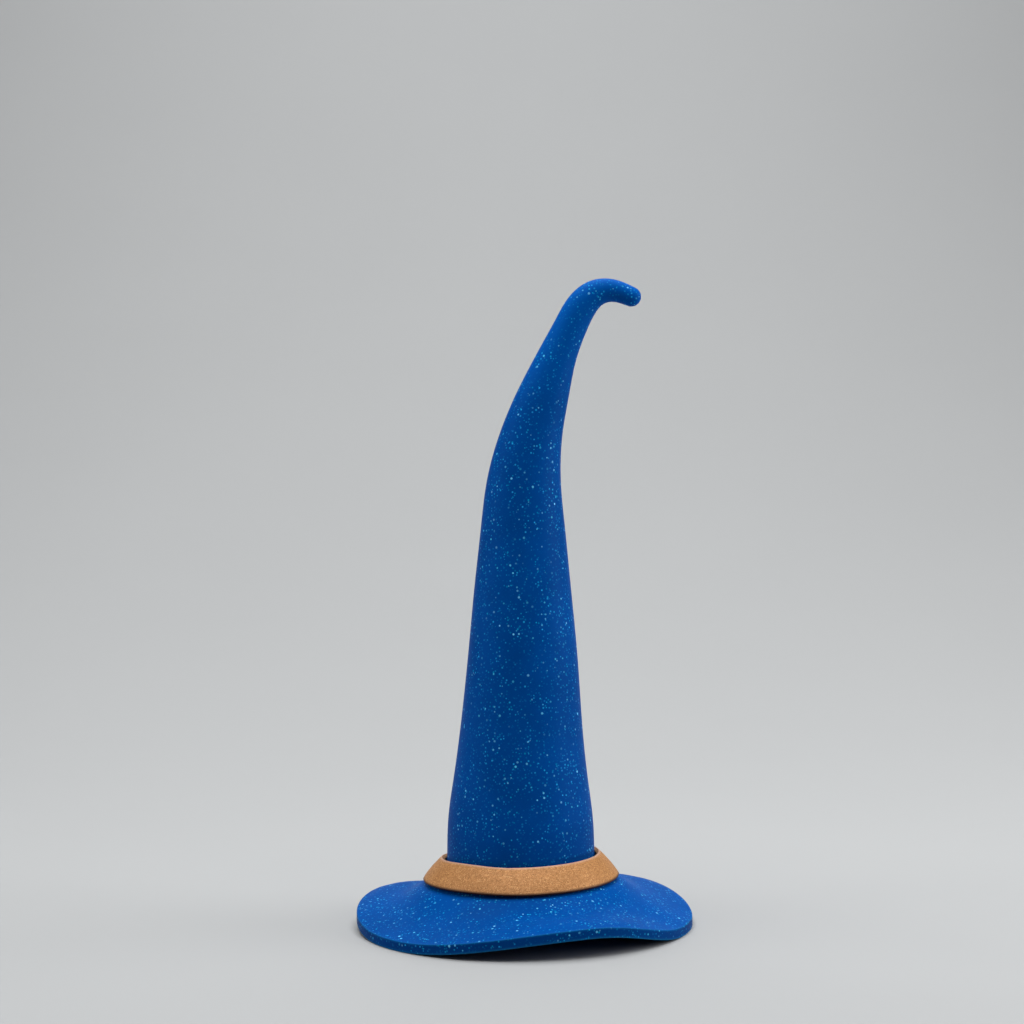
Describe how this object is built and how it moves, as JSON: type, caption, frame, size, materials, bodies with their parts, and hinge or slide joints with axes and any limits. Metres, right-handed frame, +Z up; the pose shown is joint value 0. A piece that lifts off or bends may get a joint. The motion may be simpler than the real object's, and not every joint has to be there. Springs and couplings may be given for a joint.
{
  "type": "doll's wizard hat",
  "caption": "Doll-sized wizard hat: hollow glitter-blue crown with a hooked peak and wavy brim, and a loose bronze conical band.",
  "frame": {"origin": "on the surface that the brim rests on, under the middle of the brim", "axes": "+Z up along the crown, +X towards the side that the peak hooks over to, -Y towards the side seen in the picture"},
  "size_m": [0.0436, 0.0436, 0.0839],
  "materials": {
    "glitter_blue": "satin deep-blue plastic full of fine pale-cyan glitter flecks",
    "bronze": "satin bronze-pigmented plastic with a fine metallic grain"
  },
  "bodies": {
    "root": {"hat_shell": "glitter_blue", "hat_band": "bronze"}
  },
  "joints": []
}
